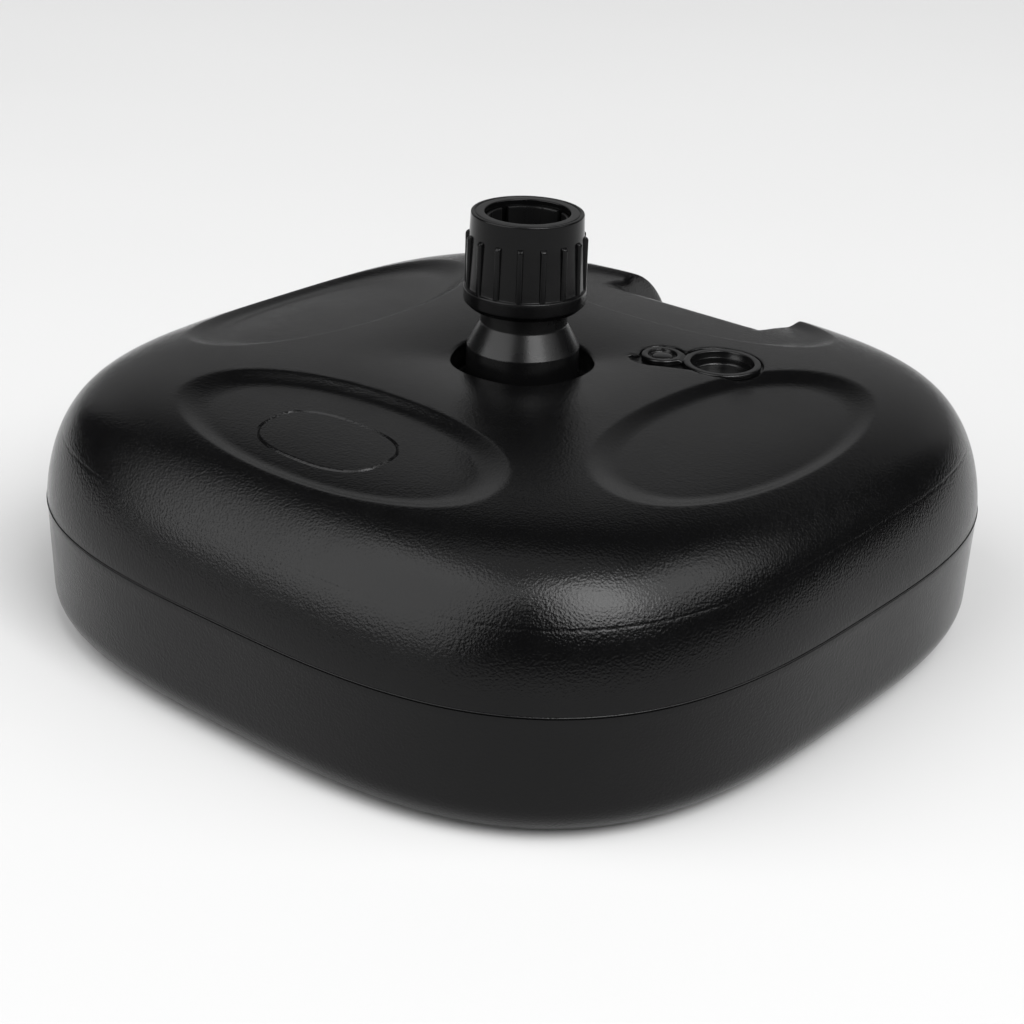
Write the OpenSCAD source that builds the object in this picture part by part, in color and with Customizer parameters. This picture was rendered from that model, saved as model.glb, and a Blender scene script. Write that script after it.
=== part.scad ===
// Fillable parasol base: a hollow square tank with a stand tube, a screw clamp for the
// pole and a captive filler stopper. Millimetres, +Z up, origin on the ground in the middle.

/* [Tank] */
// Width and depth of the tank across its parting line
tank_w = 450; // [440:1:465]
// Height of the parting line above the ground
seam_h = 69; // [64:1:74]
// Rise of the shoulder from the parting line to the top
shoulder_h = 66; // [63:1:69]
// Extra rise of the crowned top towards its middle
crown_h = 12; // [9:1:14]
// Radius of the rounded bottom edge
foot_r = 21; // [16:1:24]
// Wall thickness of the moulding
wall = 3.5; // [3:0.5:4.5]

/* [Recesses] */
// Depth of the four oval recesses in the top
recess_depth = 5; // [3:0.5:7]
// Half of the length of a recess, along its side of the tank
recess_half_l = 104; // [95:1:108]
// Half of the width of a recess
recess_half_w = 47; // [42:1:50]
// Distance from the tank's axis to the middle of a recess
recess_pos = 139; // [135:1:143]

/* [Hand grip] */
// Half of the width of the grip at its floor
grip_half_w = 58; // [50:1:62]
// Slope of the grip's floor, in degrees
grip_slope = 38; // [32:1:42]

/* [Stand tube] */
// Outer radius of the tube
tube_r = 30.3; // [29:0.1:31]
// Radius of the bore that the pole passes through
pole_bore_r = 20.6; // [20.5:0.1:20.8]
// Height at which the cylinder ends and the cone starts
cone_low_z = 151; // [149:1:153]
// Height at which the cone ends and the neck starts
cone_top_z = 164; // [162:1:166]

/* [Pole clamp] */
// Radius that the clamp fingers leave for the pole
clamp_bore_r = 20.4; // [19.9:0.1:20.5]
// Height of the collar's top face
collar_top_z = 224.6; // [222:0.1:228]
// Radius of the hole in the collar's top
collar_hole_r = 22.7; // [22.4:0.1:23]
// Number of grip ribs round the collar
collar_ribs = 16; // [8:1:20]

/* [Filler] */
// Radius of the filler hole
filler_hole_r = 18.9; // [18.6:0.1:19.2]
// Angle of the strap, from the anchor towards the stopper
strap_angle = 23; // [15:1:30]
// Distance from the anchor's axis to the stopper's axis
strap_reach = 33; // [33:0.5:35]

/* [Hidden] */
$fn = 96;
cut_h = 100;                // height of the solids that cut upwards out of the tank
BLACK = [0.055, 0.055, 0.06];
SATIN_BLACK = [0.08, 0.08, 0.085];

// Tank shape
half_w = tank_w / 2;
plan_power_seam = 3.1;      // squareness of the plan at the parting line
plan_power_top = 4.6;       // squareness of the plan near the middle of the top
rim_power = 10;             // how late the top turns down into the shoulder
rim_root = 1.67;            // how round the shoulder is
foot_taper = 1.4;           // how much narrower the wall is at its foot
dish_h = 12;                // depth of the shallow dish round the stand tube
dish_edge = 0.4;            // where that dish starts, as a share of the half width
ring_min = 0.13;            // innermost ring of the top, as a share of the half width
recess_power = 2.16;        // squareness of a recess outline
recess_flare = 0.057;       // how much longer a recess is at its outer edge
recess_wall_w = 10;         // width of the sloping wall round a recess

// Well and socket in the middle of the tank
well_r = 38.2;
well_floor_z = 128;
socket_r = tube_r + 0.3;
seat_z = 6;
seat_hole_r = 26;

// Hand grip
grip_edge_y = 143;
grip_edge_z = 138;
grip_draft = 0.2;
grip_corner_r = 10;
grip_back = 20;             // how far the channel runs on, inwards of its floor's upper edge
grip_len = 140;
grip_h = 70;

// Stand tube
tube_wall = 3;
neck_r = 23.2;
thread_r = 26;
thread_low_z = 178;
thread_lead = 1;            // chamfer at the top of the thread
tube_top_z = 205;
bore_lead = 1;              // chamfer at the mouths of the bores that the pole passes through
cone_inside = 7;            // height of the cone inside the tube
sleeve_socket_r = 23.4;
tube_rib_w = 2.4;
tube_rib_top_z = 148;
tube_ribs = 6;
drain_r = 5;

// Clamp sleeve
sleeve_r = 23.35;
sleeve_low_z = 185;
sleeve_gap = 0.02;          // clearance under the sleeve
sleeve_slot_z = 194;
sleeve_shoulder_z = 205.3;
sleeve_shoulder_r = 25.2;
sleeve_shoulder_h = 2;
sleeve_tip_z = 221.3;
sleeve_tip_r = 22.3;
sleeve_slot_w = 4.5;
sleeve_slot_angle = 75;

// Clamp collar
collar_low_z = 173.4;
collar_top_r = 29.9;
collar_foot_r = 31.4;
band_r = 32.7;
band_low_z = 176.4;
band_top_z = 183.6;
band_chamfer = 3;
collar_bore_r = thread_r + 0.08;
collar_cone_z = 206.5;
collar_lip_z = 220.5;
rib_top_z = 212.6;
rib_w = 3.4;
rib_r = 32.5;
edge_chamfer = 1.2;         // chamfer of the collar's top edge and of its ribs

// Filler stopper, its strap and its anchor
stopper_x = 84;
stopper_y = 67;
plate_top_z = 145.2;
plate_t = 3;
plate_low_z = plate_top_z - plate_t;
flange_r = 20.8;
cup_r = 17;
cup_ledge_r = 16.2;
cup_ledge_z = plate_top_z - 3.8;
cup_floor_z = plate_top_z - 7.5;
plug_r = filler_hole_r - 0.1;
plug_tip_r = 17.6;
plug_floor_t = 2;
neck_wall_r = filler_hole_r + 3;
neck_low_z = 131;
anchor_x = stopper_x - strap_reach * cos(strap_angle);
anchor_y = stopper_y - strap_reach * sin(strap_angle);
anchor_r = 11.4;
anchor_cup_r = 7.8;
anchor_cup_z = plate_top_z - 1.9;
hinge_reach = flange_r + 0.6;       // from the stopper's axis to the fold of the strap
hinge_z = plate_top_z - plate_t / 2;
strap_w = 11;
fold_gap = 0.9;
pocket_gap = 1.5;
anchor_gap = 1.2;           // gap round the anchor ring, which the stopper needs as it tilts
notch_r = 18.5;
notch_back = 4;
rivet_r = 3;
rivet_hole_r = 3.1;
rivet_head_r = 5.6;
rivet_foot_r = 4.6;
rivet_boss_r = 9;
rivet_boss_t = 5;           // thickness of the boss, below the pocket's floor
rivet_low_z = 134.6;
rivet_gap = 0.04;           // clearance between the rivet and what it holds

// ---- Shape of the tank as functions ----

// Squareness of the plan on the ring at share rho of the half width
function plan_power(rho) = plan_power_top + (plan_power_seam - plan_power_top) * rho * rho;

// Radius of a superellipse of half width a in direction t
function plan_r(a, p, t) = a / pow(pow(abs(cos(t)), p) + pow(abs(sin(t)), p), 1 / p);

// Height of the plain crowned top at share rho
function dome_z(rho) = seam_h + shoulder_h * pow(1 - pow(rho, rim_power), 1 / rim_root)
    + crown_h * (1 - rho * rho) - dish_h * pow(max(0, 1 - rho / dish_edge), 2);

// 0 at the outline of a recess rising smoothly to 1 on its floor; s runs along the side, r outwards
function recess_share(s, r) =
    let (q = (r - recess_pos) / recess_half_w,
         l = s / recess_half_l / (1 + recess_flare * q),
         v = pow(pow(abs(l), recess_power) + pow(abs(q), recess_power), 1 / recess_power),
         k = min(1, max(0, (1 - v) * recess_half_w / recess_wall_w)))
    k * k * (3 - 2 * k);

function recess_z(x, y) = recess_depth * (recess_share(x, abs(y)) + recess_share(y, abs(x)));

// One ring of the top, at share rho, moved in and down by inset
function top_ring(rho, inset, steps) =
    [for (i = [0 : steps - 1])
        let (t = 360 * i / steps, r = plan_r(rho * half_w, plan_power(rho), t),
             x = r * cos(t), y = r * sin(t), k = 1 - inset / half_w)
        [x * k, y * k, dome_z(rho) - recess_z(x, y) - inset]];

// One ring of the lower wall or of its rounded foot
function wall_ring(a, z, steps) =
    [for (i = [0 : steps - 1])
        let (t = 360 * i / steps, r = plan_r(a, plan_power_seam, t)) [r * cos(t), r * sin(t), z]];

// Closed skin of the tank: foot, wall and top, all moved inwards by inset
module tank_skin(inset, steps, top_rings) {
    foot_rings = 5;
    fr = foot_r - inset;
    foot_a = half_w - foot_taper - inset;
    rings = concat(
        [for (i = [0 : foot_rings])
            let (t = 90 * i / foot_rings)
            wall_ring(foot_a - fr * (1 - sin(t)), inset + fr * (1 - cos(t)), steps)],
        [for (i = [0 : top_rings])
            let (rho = 1 - (1 - ring_min) * pow(i / top_rings, 2))
            top_ring(rho, inset, steps)]);
    last = len(rings) - 1;
    points = [for (ring = rings) for (p = ring) p];
    sides = [for (j = [0 : last - 1]) for (i = [0 : steps - 1])
        let (n = (i + 1) % steps, a = j * steps + i, b = j * steps + n,
             c = (j + 1) * steps + n, d = (j + 1) * steps + i)
        each [[a, c, b], [a, d, c]]];
    bottom = [for (i = [0 : steps - 1]) i];
    top = [for (i = [steps - 1 : -1 : 0]) last * steps + i];
    polyhedron(points, concat(sides, [bottom, top]), convexity = 6);
}

// Straight-sided channel of the hand grip, grown by extra on every side
module grip_channel(extra) {
    w = grip_half_w + extra;
    corner = [for (t = [0 : 15 : 90]) [w - grip_corner_r * (1 - sin(t)), grip_corner_r * (1 - cos(t))]];
    right = concat(corner, [[w + grip_draft * grip_h, grip_h]]);
    left = [for (i = [len(right) - 1 : -1 : 0]) [-right[i][0], right[i][1]]];
    translate([0, grip_edge_y, grip_edge_z])
        rotate([-grip_slope, 0, 0])
            translate([0, -grip_back, -extra])
                rotate([-90, 0, 0])
                    mirror([0, 1, 0])
                        linear_extrude(grip_len) polygon(concat(right, left));
}

// Outline of the pocket that the stopper and its strap lie in, with a finger notch beside the strap
module pocket_outline() {
    translate([stopper_x, stopper_y]) circle(flange_r + pocket_gap);
    translate([anchor_x, anchor_y]) {
        circle(anchor_r + anchor_gap);
        rotate(strap_angle) {
            translate([0, -strap_w / 2 - pocket_gap]) square([strap_reach, strap_w + 2 * pocket_gap]);
            intersection() {
                union() {
                    circle(notch_r);
                    translate([0, -notch_r]) square([strap_reach, notch_r]);
                }
                translate([-notch_r, -notch_r]) square([2 * strap_reach, notch_r - notch_back]);
            }
        }
    }
}

// ---- Pieces ----

module tank() {
    color(BLACK)
    difference() {
        tank_skin(0, 96, 20);
        // Hollow for the water, round the socket, the filler neck and the rivet's boss
        difference() {
            tank_skin(wall, 48, 12);
            cylinder(r = socket_r + wall, h = collar_top_z);
            translate([0, 0, well_floor_z - wall]) cylinder(r = well_r + wall, h = cut_h);
            translate([stopper_x, stopper_y, neck_low_z]) cylinder(r = neck_wall_r, h = cut_h);
            translate([anchor_x, anchor_y, plate_low_z - rivet_boss_t])
                cylinder(r = rivet_boss_r, h = cut_h);
            translate([0, 0, plate_low_z - wall]) linear_extrude(cut_h) pocket_outline();
            grip_channel(wall);
        }
        // Well and socket for the stand tube
        translate([0, 0, well_floor_z]) cylinder(r = well_r, h = cut_h);
        translate([0, 0, seat_z]) cylinder(r = socket_r, h = well_floor_z);
        translate([0, 0, -seat_z]) cylinder(r = seat_hole_r, h = 3 * seat_z);
        // Filler hole, rivet hole and the pocket round them
        translate([stopper_x, stopper_y, neck_low_z - seat_z])
            cylinder(r = filler_hole_r, h = cut_h);
        translate([anchor_x, anchor_y, neck_low_z - seat_z]) cylinder(r = rivet_hole_r, h = cut_h);
        translate([0, 0, plate_low_z]) linear_extrude(cut_h) pocket_outline();
        grip_channel(0);
    }
}

module stand_tube() {
    inner_r = tube_r - tube_wall;
    color(BLACK) {
        rotate_extrude() polygon([
            [drain_r, seat_z], [tube_r, seat_z], [tube_r, cone_low_z], [neck_r, cone_top_z],
            [neck_r, thread_low_z - 2 * thread_lead], [thread_r, thread_low_z],
            [thread_r, tube_top_z - thread_lead], [thread_r - thread_lead, tube_top_z],
            [sleeve_socket_r, tube_top_z], [sleeve_socket_r, sleeve_low_z],
            [pole_bore_r + bore_lead, sleeve_low_z], [pole_bore_r, sleeve_low_z - bore_lead],
            [pole_bore_r, cone_low_z], [inner_r, cone_low_z - cone_inside],
            [inner_r, seat_z + tube_wall], [drain_r, seat_z + tube_wall]]);
        // Ribs that centre the pole in the wide part of the tube
        difference() {
            for (i = [0 : tube_ribs - 1])
                rotate(i * 360 / tube_ribs)
                    translate([0, -tube_rib_w / 2, seat_z + 1])
                        cube([inner_r + 1, tube_rib_w, tube_rib_top_z - seat_z - 1]);
            translate([0, 0, seat_z]) cylinder(r = pole_bore_r, h = tube_top_z);
        }
    }
}

module clamp_sleeve() {
    color(SATIN_BLACK)
    difference() {
        rotate_extrude() polygon([
            [clamp_bore_r + bore_lead, sleeve_low_z + sleeve_gap],
            [sleeve_r, sleeve_low_z + sleeve_gap],
            [sleeve_r, sleeve_shoulder_z], [sleeve_shoulder_r, sleeve_shoulder_z],
            [sleeve_shoulder_r, sleeve_shoulder_z + sleeve_shoulder_h],
            [sleeve_tip_r, sleeve_tip_z], [clamp_bore_r + bore_lead, sleeve_tip_z],
            [clamp_bore_r, sleeve_tip_z - bore_lead],
            [clamp_bore_r, sleeve_low_z + sleeve_gap + bore_lead]]);
        // Two crossed saw cuts make four fingers
        for (a = [sleeve_slot_angle, sleeve_slot_angle + 90])
            rotate(a)
                translate([-tube_r, -sleeve_slot_w / 2, sleeve_slot_z])
                    cube([2 * tube_r, sleeve_slot_w, sleeve_tip_z]);
    }
}

module clamp_collar() {
    color(BLACK) {
        rotate_extrude() polygon([
            [collar_bore_r, collar_low_z], [band_r - band_chamfer, collar_low_z],
            [band_r, band_low_z], [band_r, band_top_z], [collar_foot_r, band_top_z + 1],
            [collar_top_r, collar_top_z - edge_chamfer], [collar_top_r - edge_chamfer, collar_top_z],
            [collar_hole_r, collar_top_z], [collar_hole_r, collar_lip_z],
            [collar_bore_r, collar_cone_z]]);
        // Grip ribs
        intersection() {
            for (i = [0 : collar_ribs - 1])
                rotate((i + 0.5) * 360 / collar_ribs)
                    translate([collar_top_r - 2, -rib_w / 2, band_low_z + 1])
                        cube([rib_r - collar_top_r + 2, rib_w, rib_top_z - band_low_z - 1]);
            rotate_extrude() polygon([
                [collar_top_r - 2, band_low_z + 1], [rib_r, band_low_z + 1],
                [rib_r, band_top_z], [rib_r - edge_chamfer, rib_top_z],
                [collar_top_r - 2, rib_top_z]]);
        }
    }
}

module filler_stopper() {
    color(BLACK)
    translate([stopper_x, stopper_y, 0]) {
        rotate_extrude() polygon([
            [0, cup_floor_z - plug_floor_t], [plug_tip_r, cup_floor_z - plug_floor_t],
            [plug_r, plate_low_z], [flange_r, plate_low_z], [flange_r, plate_top_z],
            [cup_r, plate_top_z], [cup_r, cup_ledge_z], [cup_ledge_r, cup_ledge_z],
            [cup_ledge_r - 0.4, cup_floor_z], [0, cup_floor_z]]);
        // The stopper's end of the strap, rounded where it folds
        rotate(strap_angle + 180) {
            translate([cup_r + 1, -strap_w / 2, plate_low_z])
                cube([hinge_reach - cup_r - 1, strap_w, plate_t]);
            translate([hinge_reach, strap_w / 2, hinge_z])
                rotate([90, 0, 0]) cylinder(d = plate_t, h = strap_w);
        }
    }
}

module stopper_strap() {
    bridge_end = strap_reach - hinge_reach - plate_t / 2 - fold_gap;
    color(BLACK)
    translate([anchor_x, anchor_y, 0])
        difference() {
            union() {
                intersection() {
                    translate([0, 0, plate_low_z]) cylinder(r = anchor_r, h = plate_t);
                    rotate(strap_angle)
                        translate([-50, -50, 0]) cube([50 + bridge_end, 100, 200]);
                }
                rotate(strap_angle)
                    translate([0, -strap_w / 2, plate_low_z]) cube([bridge_end, strap_w, plate_t]);
            }
            translate([0, 0, anchor_cup_z]) cylinder(r = anchor_cup_r, h = 10);
            translate([0, 0, plate_low_z - 1]) cylinder(r = rivet_hole_r, h = 10);
        }
}

module anchor_rivet() {
    boss_low_z = plate_low_z - rivet_boss_t;
    rivet_dome_h = plate_top_z - anchor_cup_z - 0.7;
    color(SATIN_BLACK)
    translate([anchor_x, anchor_y, 0])
        rotate_extrude() polygon(concat(
            [[0, rivet_low_z], [rivet_r - 0.6, rivet_low_z],
             [rivet_foot_r, boss_low_z - 0.6], [rivet_foot_r, boss_low_z - rivet_gap],
             [rivet_r, boss_low_z - rivet_gap], [rivet_r, anchor_cup_z + rivet_gap],
             [rivet_head_r, anchor_cup_z + rivet_gap]],
            [for (t = [0 : 15 : 90])
                [rivet_head_r * cos(t), anchor_cup_z + 0.5 + rivet_dome_h * sin(t)]]));
}

tank();
stand_tube();
clamp_sleeve();
clamp_collar();
filler_stopper();
stopper_strap();
anchor_rivet();
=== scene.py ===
"""Looks of the fillable parasol base: meshes, materials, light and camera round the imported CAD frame.

Shapes are worked out in millimetres and written to Blender in metres. A curved wall is a Sheet: a flat
domain of triangles, whose edges are made to run along every rim, groove and outline before the
domain is bent into its real shape.
"""

import math

import bmesh
import bpy
import numpy as np
from mathutils import Matrix, Vector


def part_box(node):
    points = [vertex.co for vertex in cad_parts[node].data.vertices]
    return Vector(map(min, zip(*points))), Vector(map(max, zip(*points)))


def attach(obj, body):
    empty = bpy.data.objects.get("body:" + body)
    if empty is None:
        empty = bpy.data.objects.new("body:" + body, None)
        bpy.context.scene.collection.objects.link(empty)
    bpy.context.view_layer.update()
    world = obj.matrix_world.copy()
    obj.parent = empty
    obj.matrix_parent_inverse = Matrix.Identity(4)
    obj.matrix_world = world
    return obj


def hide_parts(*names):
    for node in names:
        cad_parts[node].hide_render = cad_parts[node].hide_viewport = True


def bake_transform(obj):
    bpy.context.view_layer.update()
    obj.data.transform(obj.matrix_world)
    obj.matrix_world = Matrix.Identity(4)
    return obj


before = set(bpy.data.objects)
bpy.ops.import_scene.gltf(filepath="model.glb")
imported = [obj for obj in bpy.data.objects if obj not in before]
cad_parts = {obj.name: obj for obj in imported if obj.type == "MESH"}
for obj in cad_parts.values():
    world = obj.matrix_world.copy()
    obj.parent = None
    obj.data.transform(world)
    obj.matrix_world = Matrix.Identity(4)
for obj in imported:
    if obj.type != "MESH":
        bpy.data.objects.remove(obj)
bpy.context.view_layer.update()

MM = 0.001


def box_mm(node):
    """Lowest and highest corner of a CAD node, in millimetres."""
    low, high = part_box(node)
    return np.array(low) / MM, np.array(high) / MM


# ---- Sizes in millimetres: driving ones come from the frame ----

_, TANK_HIGH = box_mm("tank")
TUBE_LOW, TUBE_HIGH = box_mm("stand_tube")
SLEEVE_LOW, SLEEVE_HIGH = box_mm("clamp_sleeve")
COLLAR_LOW, COLLAR_HIGH = box_mm("clamp_collar")
STOPPER_LOW, STOPPER_HIGH = box_mm("filler_stopper")
RIVET_LOW, RIVET_HIGH = box_mm("anchor_rivet")

HALF_W = TANK_HIGH[0]
SEAM_H = 69.0
SHOULDER_H = 66.0  # from the seam to the shoulder, before the crown is added
CROWN_H = 12.0
DISH_H = 12.0
DISH_EDGE = 0.4  # the dish round the well ends at this share of the half width
SEAM_POWER = 3.1  # superellipse powers of the plan at the seam and at the middle
TOP_POWER = 4.6
RIM_POWER = 10.0
RIM_ROOT = 1.67
FOOT_R = 21.0
FOOT_TAPER = 1.4
WALL = 3.5
BRIDGE_R = 60.0  # the bottom's outer part ends in a ring of this radius, and its middle part in the next
BRIDGE_INNER_R = 56.0

WELL_R = 38.2
WELL_FLOOR = 128.0
WELL_RIM_R = 2.2
WELL_FILLET = 2.0
TUBE_R = TUBE_HIGH[0]
SOCKET_R = TUBE_R + 0.3
SEAT_Z = TUBE_LOW[2]
SEAT_HOLE_R = 26.0

PLATE_TOP = STOPPER_HIGH[2]
PLATE_T = 3.0
PLATE_LOW = PLATE_TOP - PLATE_T
FLANGE_R = (STOPPER_HIGH[1] - STOPPER_LOW[1]) / 2
STOPPER_AXIS = np.array([STOPPER_HIGH[0] - FLANGE_R, STOPPER_HIGH[1] - FLANGE_R])
ANCHOR_AXIS = (RIVET_LOW[:2] + RIVET_HIGH[:2]) / 2
STRAP_REACH = float(np.hypot(*(STOPPER_AXIS - ANCHOR_AXIS)))
STRAP_DIR = (STOPPER_AXIS - ANCHOR_AXIS) / STRAP_REACH
FILLER_R = 18.9
NECK_WALL = 3.0
NECK_EDGE = 0.8
NECK_LOW = 131.0
ANCHOR_R = 11.4
STRAP_W = 11.0

# Triangle size of each sheet
TANK_STEP = 2.3
INSIDE_STEP = 6.0
SLEEVE_STEP = 1.3
STOPPER_STEP = 1.35


# ---- Small functions of arrays ----

def smooth(t):
    """0 to 1 with flat ends."""
    t = np.clip(t, 0, 1)
    return t * t * (3 - 2 * t)


def soft_min(a, b, k):
    """Smaller of a and b, with the corner between them rounded over k."""
    h = np.maximum(k - np.abs(a - b), 0) / k
    return np.minimum(a, b) - h * h * k / 4


def round_drop(d, r):
    """How far an edge rounded to radius r has dropped, at distance d inside the edge."""
    inside = np.clip(r - d, 0, r)
    return r - np.sqrt(r * r - inside * inside)


# ---- Sheets ----

class Sheet:
    """A flat domain of triangles whose edges can be made to follow the contours of a field."""

    def __init__(self, half_size, step):
        rows = int(2 * half_size / (step * math.sqrt(0.75))) + 2
        cols = int(2 * half_size / step) + 2
        j, i = np.mgrid[0:rows, 0:cols]
        x = (i + 0.5 * (j % 2)) * step - half_size
        y = j * step * math.sqrt(0.75) - half_size
        self.points = np.stack([x.ravel(), y.ravel()], 1)
        a = (j * cols + i)[:-1, :-1]
        odd = (j % 2)[:-1, :-1] == 1
        b, c, d = a + 1, a + cols, a + cols + 1
        even_rows = [np.stack([a, b, c], 2)[~odd], np.stack([b, d, c], 2)[~odd]]
        odd_rows = [np.stack([a, d, c], 2)[odd], np.stack([a, b, d], 2)[odd]]
        self.triangles = np.concatenate(even_rows + odd_rows)
        self.locked = np.zeros(len(self.points), bool)

    def follow(self, field, level=0.0, snap=0.3):
        """Splits triangles so that edges run along field == level.

        A free point moves onto the line where that takes less than the share snap of an edge.
        """
        value = field(self.points) - level
        edges = self.edges()
        a, b = edges[value[edges[:, 0]] * value[edges[:, 1]] < 0].T
        share = self.root(field, level, a, b)
        for end, other, t in ((a, b, share), (b, a, 1 - share)):
            near = (t < snap) & ~self.locked[end]
            order = np.argsort(-t[near])
            end, other, t = end[near][order], other[near][order], t[near][order]
            moved = self.points[end] + (self.points[other] - self.points[end]) * t[:, None]
            free = value[end] != 0
            self.points[end[free]] = moved[free]
            value[end[free]] = 0
        self.locked |= value == 0
        edges = edges[value[edges[:, 0]] * value[edges[:, 1]] < 0]
        if not len(edges):
            return
        a, b = edges.T
        share = self.root(field, level, a, b)
        start = len(self.points)
        cut = self.points[a] + (self.points[b] - self.points[a]) * share[:, None]
        self.points = np.concatenate([self.points, cut])
        self.locked = np.concatenate([self.locked, np.ones(len(cut), bool)])
        sign = np.sign(np.concatenate([value, np.zeros(len(cut))]))
        keys = a.astype(np.int64) * len(self.points) + b

        def cut_on(p, q):
            """Number of the new point on each edge p-q, or -1."""
            key = np.minimum(p, q).astype(np.int64) * len(self.points) + np.maximum(p, q)
            at = np.minimum(np.searchsorted(keys, key), len(keys) - 1)
            return np.where(keys[at] == key, start + at, -1)

        tri = self.triangles
        kinds = sign[tri]
        hit = (kinds.max(1) > 0) & (kinds.min(1) < 0)
        out = [tri[~hit]]
        tri = tri[hit]
        kinds = sign[tri]
        through = (kinds == 0).any(1)
        t0 = tri[through]
        roll = np.argmax(sign[t0] == 0, 1)[:, None]
        t0 = t0[np.arange(len(t0))[:, None], (roll + np.arange(3)) % 3]
        m = cut_on(t0[:, 1], t0[:, 2])
        out += [np.stack([t0[:, 0], t0[:, 1], m], 1), np.stack([t0[:, 0], m, t0[:, 2]], 1)]
        t1 = tri[~through]
        s1 = sign[t1]
        lone = np.argmax(s1 != np.sign(s1.sum(1))[:, None], 1)[:, None]
        t1 = t1[np.arange(len(t1))[:, None], (lone + np.arange(3)) % 3]
        p, q = cut_on(t1[:, 0], t1[:, 1]), cut_on(t1[:, 0], t1[:, 2])
        out += [np.stack([t1[:, 0], p, q], 1), np.stack([p, t1[:, 1], t1[:, 2]], 1),
                np.stack([p, t1[:, 2], q], 1)]
        self.triangles = np.concatenate(out)

    def root(self, field, level, a, b):
        """Where along each edge a-b the field reaches the level, as a share of the edge."""
        pa, pb = self.points[a], self.points[b]
        low, high = np.zeros(len(a)), np.ones(len(a))
        v_low, v_high = field(pa) - level, field(pb) - level
        for _ in range(6):
            t = low + (high - low) * v_low / (v_low - v_high + (v_low == v_high))
            t = np.clip(t, low + 0.02 * (high - low), high - 0.02 * (high - low))
            v = field(pa + (pb - pa) * t[:, None]) - level
            same = v * v_low > 0
            low, v_low = np.where(same, t, low), np.where(same, v, v_low)
            high, v_high = np.where(same, high, t), np.where(same, v_high, v)
        return np.where(np.abs(v_low) < np.abs(v_high), low, high)

    def trim(self, field):
        """Follows field == 0 and drops the triangles where the field is above 0."""
        self.follow(field)
        middle = self.points[self.triangles].mean(1)
        self.triangles = self.triangles[field(middle) < 0]
        used = np.unique(self.triangles)
        index = np.full(len(self.points), -1)
        index[used] = np.arange(len(used))
        self.points, self.locked = self.points[used], self.locked[used]
        self.triangles = index[self.triangles]

    def sides(self):
        """The sides of every triangle, so that an edge inside the sheet is there twice."""
        return np.concatenate([self.triangles[:, [0, 1]], self.triangles[:, [1, 2]],
                               self.triangles[:, [2, 0]]])

    def edges(self):
        """Every edge once, as two point numbers."""
        return np.unique(np.sort(self.sides(), 1), axis=0)

    def loops(self):
        """The borders, each a list of points in order, with the sheet on their left."""
        both = {(int(p), int(q)) for p, q in self.sides()}
        after = {p: q for p, q in both if (q, p) not in both}
        loops = []
        while after:
            first, point = after.popitem()
            loop = [first]
            while point != first:
                loop.append(point)
                point = after.pop(point)
            loops.append(loop)
        return loops


# ---- Building meshes ----

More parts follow.
